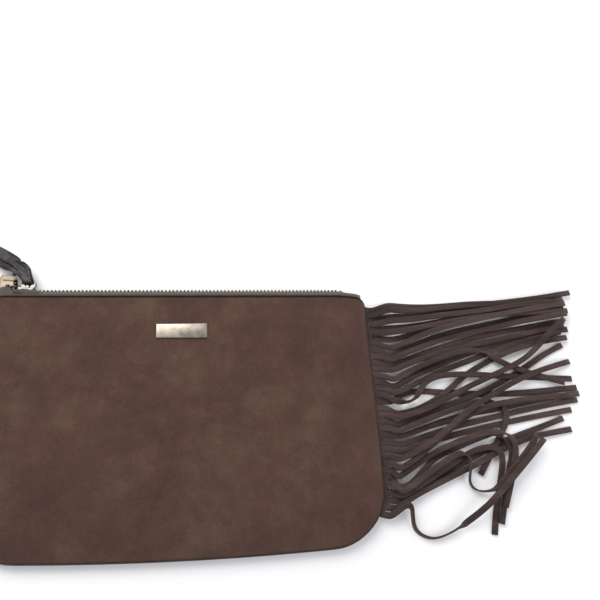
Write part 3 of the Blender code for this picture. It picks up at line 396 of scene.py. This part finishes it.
def shell_point(x, y, front, inset, drop, depth):
    """A point on a panel or lining: inset from the seam, drop under the suede, depth inside it."""
    sign = 1 if front else -1
    seam = seam_height(x, y, front)
    if inset > 0:
        seam = (seam_height(x, y, True) + SEAM_Z + sign * GAP) / 2
    rise = sign * (crown_height(y, front) - seam) - drop
    width = roll_width(y, front) - inset
    d, inward = edge_distance(x, y, inset)
    c = min(1.0, max(0.0, 1 - d / width))
    q = math.sqrt(1 - c * c)
    slope, lift = c / width, q / rise
    norm = math.hypot(slope, lift)
    move = depth * slope / norm
    z = seam + sign * (rise * q - depth * lift / norm)
    return place(x + inward[0] * move, y + inward[1] * move, z, front)


def uneven(x, y):
    """Soft unevenness of the filled front, none near the seams or the name plate."""
    d, _ = edge_distance(x, y, 0.0)
    wave = math.sin(31 * x + 1.3) * math.cos(43 * y + 0.4) + 0.6 * math.sin(67 * x - 52 * y)
    plate = smooth((math.hypot(x / 1.6, y - PLATE_Y) - 0.016) / 0.02)
    return UNEVEN * wave * smooth(d / 0.03) * plate * smooth((TOP_Y - y) / 0.02)


# Grid lines in from the seams and down from the top edge, and how many fill the rest
EDGE_STEPS = [0.0, 0.0003, 0.0009, 0.0018, 0.003, 0.0046, 0.0066, 0.009, 0.012, 0.0155, 0.0195, 0.024]
LIP_STEPS = [0.0005, 0.0015, 0.003, 0.005, 0.0075, 0.0105, 0.014]
FIELD_ROWS = 34
FIELD_COLUMNS = 58


def shell_object(name, front, inset, drop, depth, top_y, near_zip=0.0, open_rise=0.0):
    """A whole panel or lining on a fine grid, its top edge raised where the mouth is open."""
    low = BOTTOM_Y + inset
    rows = [low + s for s in EDGE_STEPS]
    rows += list(np.linspace(low + 0.0285, top_y - 0.018, FIELD_ROWS))
    rows += [top_y - s for s in LIP_STEPS[::-1]] + [top_y]
    centre_y = BOTTOM_Y + CORNER_R
    radius = CORNER_R - inset
    outer, inner, from_edge = [], [], []
    for y in rows:
        half = HALF_WIDTH - inset
        if y < centre_y:
            reach = min(radius, centre_y - y)
            half = HALF_WIDTH - CORNER_R + math.sqrt(radius ** 2 - reach ** 2)
        edge = [half - s for s in EDGE_STEPS]
        middle = list(np.linspace(-edge[-1], edge[-1], FIELD_COLUMNS))[1:-1]
        xs = [-e for e in edge] + middle + edge[::-1]
        extra = drop + near_zip * smooth((y - LIP_START_Y) / 0.010)
        raised = smooth((y - top_y + 0.014) / 0.014)
        ys = [y + open_rise * raised * mouth(x) for x in xs]
        top_face = [shell_point(x, v, front, inset, extra, 0.0) for x, v in zip(xs, ys)]
        if front and not inset:
            for point, x in zip(top_face, xs):
                point.z += uneven(x, y)
        outer.append(top_face)
        from_top = top_y - y
        from_edge += [from_top if inset else min(edge_distance(x, y, inset)[0], from_top) for x in xs]
        inner.append([shell_point(x, v, front, inset, extra, depth) for x, v in zip(xs, ys)])
    return grid_object(name, outer, inner, "from_edge", from_edge + from_edge)


def suede(name, dark, base, light, streak=(1.0, 1.0, 1.0), sheen=0.35, seams=False):
    """Matt nap with faint cloudy patches where it has been brushed, and a fine fibrous grain."""
    material, tree, shader = new_material(name)
    where = add_node(tree, "TexCoord").outputs["Object"]
    along = scaled(tree, where, streak)
    clouds = ramp(tree, noise(tree, along, 34.0, 5.0, 0.6), [(0.30, dark), (0.50, base), (0.70, light)])
    blotch = ramp(tree, noise(tree, along, 150.0, 4.0, 0.6), [(0.34, "#a09a98"), (0.64, "#bdb8b4")])
    speck = ramp(tree, noise(tree, where, 900.0, 4.0, 0.8), [(0.38, "#7c7876"), (0.62, "#d8d2cd")])
    tone = mix(tree, 0.40, clouds, blotch, "OVERLAY")
    tone = mix(tree, 0.32, tone, speck, "OVERLAY")
    nap = bump(tree, noise(tree, where, 1100.0, 3.0, 0.7), 0.6, 0.0003)
    # Painted shade where the suede turns in to the seams and the zip, and a slight pucker there.
    if seams:
        tone, nap = seam_shade_and_pucker(tree, tone, nap)
    tree.links.new(tone, shader.inputs["Base Color"])
    tree.links.new(bump(tree, noise(tree, where, 240.0, 3.0, 0.6), 0.25, 0.0004, nap),
                   shader.inputs["Normal"])
    shader.inputs["Roughness"].default_value = 0.95
    shader.inputs["Specular IOR Level"].default_value = 0.2
    shader.inputs["Sheen Weight"].default_value = sheen
    shader.inputs["Sheen Roughness"].default_value = 0.55
    shader.inputs["Sheen Tint"].default_value = colour("#b79f90")
    return material


def seam_shade_and_pucker(tree, tone, normal):
    """Paint shade on the suede where it turns in to a seam or to the zip, and pucker it a little there.
    """
    edge = add_node(tree, "Attribute", {"attribute_name": "from_edge"}).outputs["Fac"]
    near = add_node(tree, "MapRange", Value=edge, _1=SEAM_PAINTED_SHADE[0], _2=SEAM_PAINTED_SHADE[1])
    shade = ramp(tree, near.outputs[0], [(0.0, "#2c2321"), (0.45, "#8a8280"), (1.0, "#ffffff")])
    tone = mix(tree, 1.0, tone, shade, "MULTIPLY")
    pucker = add_node(tree, "TexNoise", Vector=add_node(tree, "TexCoord").outputs["Object"],
                      Scale=210.0, Detail=2.0)
    fade = add_node(tree, "MapRange", Value=edge, _1=0.001, _2=0.008, _3=1.0, _4=0.0)
    height = add_node(tree, "Math", {"operation": "MULTIPLY"}, _0=pucker.outputs["Fac"],
                      _1=fade.outputs[0])
    return tone, bump(tree, height.outputs[0], 0.6, 0.0012, normal)


panel_suede = suede("brown_suede", "#47342e", "#503b34", "#5a473d", seams=True)
for node, is_front in (("front_panel", True), ("back_panel", False)):
    panel = shell_object(node + "_suede", is_front, 0.0, 0.0, SUEDE_T, TOP_Y)
    panel.data.materials.append(panel_suede)
    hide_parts(node)
    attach(panel, "bag")


# Lining

# Pale satin, seen only in the open corner of the zip, with a dark line along its top edge that is
# partly its seam and partly painted shade in the fold.
SATIN_TONES = [(0.35, "#cdb59c"), (0.65, "#e2cdb6")]
HEM_SEAM_AND_SHADE = (0.0002, 0.0014)     # the dark line at the top edge, seam and painted shade, down from the edge
satin, tree, shader = new_material("peach_satin")
where = add_node(tree, "TexCoord").outputs["Object"]
tone = ramp(tree, noise(tree, where, 90.0, 3.0), SATIN_TONES)
edge = add_node(tree, "Attribute", {"attribute_name": "from_edge"}).outputs["Fac"]
near = add_node(tree, "MapRange", Value=edge, _1=HEM_SEAM_AND_SHADE[0], _2=HEM_SEAM_AND_SHADE[1])
# A dark line along the top edge: partly the seam, partly painted shade in the fold.
hem_seam_and_shade = ramp(tree, near.outputs[0], [(0.0, "#4a3a32"), (0.6, "#b5a08c"), (1.0, "#ffffff")])
tree.links.new(mix(tree, 1.0, tone, hem_seam_and_shade, "MULTIPLY"), shader.inputs["Base Color"])
threads = noise(tree, scaled(tree, where, (1.0, 6.0, 1.0)), 1800.0, 2.0)
folds = bump(tree, noise(tree, where, 70.0, 2.0), 0.5, 0.001)
tree.links.new(bump(tree, threads, 0.3, 0.0001, folds), shader.inputs["Normal"])
shader.inputs["Roughness"].default_value = 0.42
shader.inputs["Sheen Weight"].default_value = 0.3
for node, is_front in (("front_lining", True), ("back_lining", False)):
    lining = shell_object(node + "_satin", is_front, LINING_INSET, SUEDE_T + GAP, LINING_T,
                          TOP_Y - 4 * GAP, TAPE_T + GAP, LINING_REACH)
    lining.data.materials.append(satin)
    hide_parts(node)
    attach(lining, "bag")


# Zip

# Woven tape, faced with satin on the inside, with two rows of small metal teeth. The tape
# is finely rounded and reaches nearer the seams than the CAD model's, every tooth is clamped
# on by itself, and the top stops are shorter, to stay clear of the strap.
CHAIN_Y = 0.0923
CHAIN_HALF = 0.0026
RIM_REACH = 0.0083
NOSE_SPLIT = 0.0014
SLIDER_X = -0.114539
SLIDER_LENGTH = 0.0125
TOOTH_PITCH = 0.00275
TOOTH_HALF_WIDTH = 0.00062
TEETH_START_X = MOUTH_X - 0.0045
TEETH_END_X = 0.119
STOP_X = TEETH_START_X - 0.0012
STOP_HALF_WIDTH = 0.0010
TAPE_ENDS = (-HALF_WIDTH + 0.0002, HALF_WIDTH - 0.0035)
FINE_TO_X = -0.100              # the tape's grid is finer up to here, round the slider
WEAVE_SCALE = 620.0
# Outlines from the end of the zip: reach past the tape's edge, and thickness either side
TOOTH = [(-0.0005, 0.0005), (-0.0005, 0.0012), (0.0002, 0.0014), (0.0026, 0.0013), (0.0032, 0.0007)]
STOP = [(-0.0005, 0.0005), (-0.0005, 0.0011), (0.0, 0.0013), (0.0009, 0.0013), (0.0014, 0.0006)]
BEAD = [(0.0002, 0.0003), (0.0005, 0.0006), (0.0009, 0.0006), (0.0011, 0.0003)]


def lip_offset(x, y, front):
    """Outer face of the tape under the suede, from the middle of the chain."""
    sign = 1 if front else -1
    seam = seam_height(x, y, front)
    rise = sign * (crown_height(y, front) - seam) - SUEDE_T - GAP
    width = roll_width(y, front)
    c = min(1.0, max(0.0, (width - HALF_WIDTH + abs(x)) / (width - SUEDE_T - GAP)))
    return max(sign * (seam - CHAIN_Z) + rise * math.sqrt(1 - c * c) - GAP * c, GAP + TAPE_T)


def tape_section(x, front):
    """Outer face of a tape at x, as (y, distance from the middle of the chain)."""
    lip = lip_offset(x, TOP_Y, front)
    split = NOSE_SPLIT * smooth((SLIDER_X - x * (1 - TOP_TAPER)) / (SLIDER_LENGTH / 2 - 0.0022))
    edge = lerp(CHAIN_HALF + GAP, GAP, smooth((x - TEETH_END_X - 0.0042) / 0.003))
    chain_y = CHAIN_Y + TAPE_T / 2
    run = chain_y - TOP_Y
    hidden = [(TOP_Y - 0.006, lip_offset(x, TOP_Y - 0.006, front)), (TOP_Y, lip)]
    closed = [(TOP_Y + 0.30 * run, lip - 0.0001), (TOP_Y + 0.58 * run, lip - 0.0009),
              (TOP_Y + 0.82 * run, lip - 0.0022), (chain_y, edge)]
    in_slider = [(TOP_Y + 0.38 * run, lip), (chain_y - 0.0011, lip + 0.0002 + split),
                 (chain_y, lip - 0.0007 + split), (chain_y, edge + split)]
    opened = [(TOP_Y + RIM_REACH * share, lip - fall)
              for share, fall in ((0.27, 0.0), (0.54, 0.0), (0.79, 0.0002), (1.0, 0.0009))]
    m = mouth(x)
    past = abs(x * (1 - TOP_TAPER) - SLIDER_X) - SLIDER_LENGTH / 2
    near = (1 - smooth((past - 0.001) / 0.006)) * (1 - smooth(3 * m))
    section = []
    for a, b, c in zip(closed, in_slider, opened):
        y = lerp(lerp(a[0], b[0], near), c[0], m)
        section.append((y, max(lerp(lerp(a[1], b[1], near), c[1], m), GAP + TAPE_T)))
    section[-1] = (section[-1][0], lerp(edge + split * near, opened[-1][1], m))
    return hidden + section


def chain_place(x, y, offset, front):
    return place(x, y, CHAIN_Z + (offset if front else -offset), front)


def edge_direction(x, section):
    """Which way the edge with the teeth points: across while closed, along the lip when open."""
    along = np.subtract(section[-1], section[-2])
    along = lerp(np.array((0.0, -1.0)), along / np.hypot(*along), mouth(x))
    return along / np.hypot(*along)


def rounded(points, count):
    """More points on a smooth curve through the given ones."""
    ends = [2 * points[0] - points[1], *points, 2 * points[-1] - points[-2]]
    curve = []
    for a, b, c, d in zip(ends, ends[1:], ends[2:], ends[3:]):
        for t in np.arange(count) / count:
            curve.append(0.5 * (2 * b + (c - a) * t + (2 * a - 5 * b + 4 * c - d) * t ** 2
                                + (3 * b - a - 3 * c + d) * t ** 3))
    return np.array([*curve, points[-1]])


def make_tape(name, front):
    """A tape on a fine grid; its inner side is marked for the satin."""
    xs = np.concatenate([np.arange(TAPE_ENDS[0], FINE_TO_X, 0.0006),
                         np.arange(FINE_TO_X, TAPE_ENDS[1], 0.002), TAPE_ENDS[1:]])
    outer, inner = [], []
    for x in xs:
        section = tape_section(x, front)
        curve = rounded([np.array(p) for p in section], 3)
        slope = np.gradient(curve, axis=0)
        slope /= np.hypot(*slope.T)[:, None]
        slope[-1] = edge_direction(x, section)
        under = curve + np.stack([slope[:, 1], -slope[:, 0]], axis=1) * TAPE_T
        outer.append([chain_place(x, y, w, front) for y, w in curve])
        inner.append([chain_place(x, y, w, front) for y, w in under])
    face = [0.0] * len(outer[0])
    satin_face = [1.0] * (len(face) - 1) + [0.0]
    return grid_object(name, outer, inner, "inside", face * len(xs) + satin_face * len(xs))


def row_frame(x, front):
    """Where the tape's edge is at x, and three directions: along it, out from it, across both."""
    def edge(at, out):
        section = tape_section(at, front)
        ty, tw = edge_direction(at, section)
        y, w = section[-1]
        return chain_place(at, y + tw * TAPE_T / 2 + ty * out, w - ty * TAPE_T / 2 + tw * out, front)

    along = (edge(x + 0.0003, 0.0) - edge(x - 0.0003, 0.0)).normalized()
    out = edge(x, 0.001) - edge(x, 0.0)
    out = (out - along * out.dot(along)).normalized()
    return edge(x, 0.0), along, out, along.cross(out)


def add_prism(bm, half_outline, stations):
    """A closed body with a mirrored outline, carried along the row's stations."""
    outline = half_outline + [(r, -t) for r, t in reversed(half_outline)]
    if half_outline[0][0] < 0:
        outline += [(0.0002, -0.0005), (0.0002, 0.0005)]
    rings = []
    for (point, along, out, across), shift in stations:
        rings.append([bm.verts.new(point + along * shift + out * r + across * t) for r, t in outline])
    for one, two in zip(rings, rings[1:]):
        for i in range(len(outline)):
            j = (i + 1) % len(outline)
            bm.faces.new((one[i], one[j], two[j], two[i]))
    bm.faces.new(rings[0])
    bm.faces.new(rings[-1])


def row_object(name, bm):
    """A finished row of teeth or a stop, its worn edges rounded."""
    bmesh.ops.recalc_face_normals(bm, faces=bm.faces)
    mesh = bpy.data.meshes.new(name)
    bm.to_mesh(mesh)
    bm.free()
    obj = bpy.data.objects.new(name, mesh)
    scene.collection.objects.link(obj)
    round_edges(obj, 0.00012, 2)
    apply_modifiers(obj, 40)
    return obj


tape_cloth, tree, shader = new_material("woven_zip_tape")
where = add_node(tree, "TexCoord").outputs["Object"]
warp, weft = [add_node(tree, "TexWave", {"bands_direction": direction}, Vector=where,
                       Scale=WEAVE_SCALE, Distortion=0.4) for direction in ("X", "Y")]
weave = add_node(tree, "Math", {"operation": "MULTIPLY"}, _0=warp.outputs["Fac"],
                 _1=weft.outputs["Fac"])
tone = ramp(tree, weave.outputs[0], [(0.0, "#4a453b"), (0.8, "#645e52")])
cloudy = ramp(tree, noise(tree, where, 150.0, 3.0), [(0.35, "#8a8683"), (0.65, "#a29e9b")])
cloth = mix(tree, 0.5, tone, cloudy, "OVERLAY")
facing = ramp(tree, noise(tree, where, 90.0, 3.0), SATIN_TONES)
inside = add_node(tree, "Attribute", {"attribute_name": "inside"}).outputs["Fac"]
tree.links.new(mix(tree, inside, cloth, facing), shader.inputs["Base Color"])
tree.links.new(bump(tree, weave.outputs[0], 0.4, 0.0002), shader.inputs["Normal"])
shader.inputs["Roughness"].default_value = 0.85
shader.inputs["Sheen Weight"].default_value = 0.2
tooth_metal = metal("dark_nickel_teeth", "#454240", 0.38)
stop_metal = metal("satin_nickel_stops", "#5a5754", 0.34)
for side, is_front in (("front", True), ("back", False)):
    tape = make_tape(side + "_zip_tape_woven", is_front)
    tape.data.materials.append(tape_cloth)
    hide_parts(side + "_zip_tape")
    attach(tape, "bag")

    fine = np.arange(TEETH_END_X, TEETH_START_X, -0.0003)
    path = np.array([row_frame(x, is_front)[0] for x in fine])
    along_row = np.concatenate([[0.0], np.cumsum(np.linalg.norm(np.diff(path, axis=0), axis=1))])
    first = TOOTH_PITCH * (0.5 if is_front else 1.0)
    bm = bmesh.new()
    for reach in np.arange(first, along_row[-1], TOOTH_PITCH):
        frame_here = row_frame(float(np.interp(reach, along_row, fine)), is_front)
        add_prism(bm, TOOTH, [(frame_here, -TOOTH_HALF_WIDTH), (frame_here, TOOTH_HALF_WIDTH)])
    add_prism(bm, BEAD, [(row_frame(x, is_front), 0.0) for x in fine[::4]])
    teeth = row_object(side + "_zip_teeth_metal", bm)
    teeth.data.materials.append(tooth_metal)
    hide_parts(side + "_zip_teeth")
    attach(teeth, "bag")

    bm = bmesh.new()
    here = row_frame(STOP_X, is_front)
    add_prism(bm, STOP, [(here, -STOP_HALF_WIDTH), (here, STOP_HALF_WIDTH)])
    stop = row_object(side + "_top_stop_metal", bm)
    stop.data.materials.append(stop_metal)
    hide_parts(side + "_top_stop")
    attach(stop, "bag")

stop = copy_node("zip_end_stop", "zip_end_stop_metal")
round_edges(stop, 0.0003, 3, 20)
apply_modifiers(stop, 40)
stop.data.materials.append(stop_metal)
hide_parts("zip_end_stop")
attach(stop, "bag")


# Slider and ring

# Bright nickel, with softly rounded edges that catch the light.
bright = metal("bright_nickel", "#6f6b67", 0.17)
slider = copy_node("zip_slider", "zip_slider_metal")
round_edges(slider, 0.00022, 3)
apply_modifiers(slider, 40)
slider.data.materials.append(bright)
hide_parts("zip_slider")
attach(slider, "slider")

ring = copy_node("pull_ring", "pull_ring_wire")
subdivide(ring)
apply_modifiers(ring, 80)
ring.data.materials.append(bright)
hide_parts("pull_ring")
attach(ring, "ring")


# Wrist strap

# Smooth dark taupe leather, doubled. The copy of the CAD solid is pushed out and in near the
# ring, folded along the creases of its upper leg, and softly wrinkled all over.
PUSHES = [                      # place, push and reach
    ((-0.1180, 0.1110), (0.0012, 0.0008, 0.0), 0.0060),     # the bend above the ring bellies out
    ((-0.1214, 0.1027), (-0.0012, 0.0004, 0.0), 0.0042),    # the inner leg is wider by the ring
    ((-0.1268, 0.1092), (0.0004, 0.0011, 0.0004), 0.0055),  # it stays clear of the tape's end
    ((-0.1208, 0.1188), (-0.0006, -0.0012, 0.0), 0.0013),   # the outer edge steps in
]
CREASES = [                     # from, to, half-width and height of each fold on the upper leg
    ((-0.1268, 0.1180), (-0.1182, 0.1087), 0.0007, -0.0022),
    ((-0.1195, 0.1125), (-0.1150, 0.1060), 0.0009, 0.0007),
    ((-0.1330, 0.1215), (-0.1245, 0.1150), 0.0008, -0.0007),
    ((-0.1345, 0.1170), (-0.1260, 0.1125), 0.0008, 0.0006),
    ((-0.1360, 0.1265), (-0.1238, 0.1196), 0.0009, -0.0006),
]
WRINKLE = 0.0003                # height of the soft wrinkles
WRINKLE_SCALE = (120, 190, 90)  # and how many fill a metre along each axis


def fade_out(distance, reach):
    """How strongly a push or fold acts at a distance from its middle."""
    return math.exp(-(distance / reach) ** 2)


leather, tree, shader = new_material("taupe_leather")
where = add_node(tree, "TexCoord").outputs["Object"]
tone = ramp(tree, noise(tree, where, 60.0, 5.0, 0.6),
            [(0.3, "#1f1b1a"), (0.55, "#2a2625"), (0.75, "#3a3432")])
tree.links.new(tone, shader.inputs["Base Color"])
pebble = add_node(tree, "TexVoronoi", {"feature": "SMOOTH_F1"}, Vector=where, Scale=1300.0)
creases = bump(tree, noise(tree, where, 320.0, 4.0, 0.6), 0.35, 0.0005)
tree.links.new(bump(tree, pebble.outputs["Distance"], 0.25, 0.0002, creases), shader.inputs["Normal"])
rough = add_node(tree, "MapRange", Value=noise(tree, where, 200.0, 3.0), _3=0.30, _4=0.46)
tree.links.new(rough.outputs[0], shader.inputs["Roughness"])
shader.inputs["Specular IOR Level"].default_value = 0.30
strap = copy_node("wrist_strap", "wrist_strap_leather")
crease_sharp(strap, 50)
subdivide(strap)
round_edges(strap, 0.0003, 2, 60)
apply_modifiers(strap, 60)
for vert in strap.data.vertices:
    flat = Vector(vert.co[:2])
    if vert.normal.z > 0.1:
        for start, end, half, height in CREASES:
            first, last = Vector(start), Vector(end)
            share = (flat - first).dot(last - first) / (last - first).length_squared
            on_crease = first.lerp(last, min(1.0, max(0.0, share)))
            vert.co.z += height * fade_out((flat - on_crease).length, half)
    for middle, push, reach in PUSHES:
        vert.co += Vector(push) * fade_out((flat - Vector(middle)).length, reach)
    spot = Vector([c * scale for c, scale in zip(vert.co, WRINKLE_SCALE)])
    vert.co += vert.normal * WRINKLE * fractal(spot, 0.8, 2.0, 2)
strap.data.materials.append(leather)
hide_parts("wrist_strap")
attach(strap, "strap")


# Name plate

# Bare pale metal with a brushed face.
plate_metal = metal("pale_plate", "#a09a8e", 0.30, 500.0)
plate = copy_node("name_plate", "name_plate_metal")
round_edges(plate, 0.00015, 2, 20)
apply_modifiers(plate, 30)
plate.data.materials.append(plate_metal)
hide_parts("name_plate")
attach(plate, "bag")


# Fringe

# One strip of darker suede cut into long strands that lie loosely over one another.
# The copy of the CAD solid is smoothed along the strands; their cut edges stay square.
fringe_suede = suede("fringe_suede", "#332a29", "#433837", "#524643", (0.35, 3.0, 1.0), 0.3)
fringe = copy_node("fringe", "fringe_strands")
crease_sharp(fringe, 50)
subdivide(fringe)
apply_modifiers(fringe, 50)
fringe.data.materials.append(fringe_suede)
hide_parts("fringe")
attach(fringe, "bag")
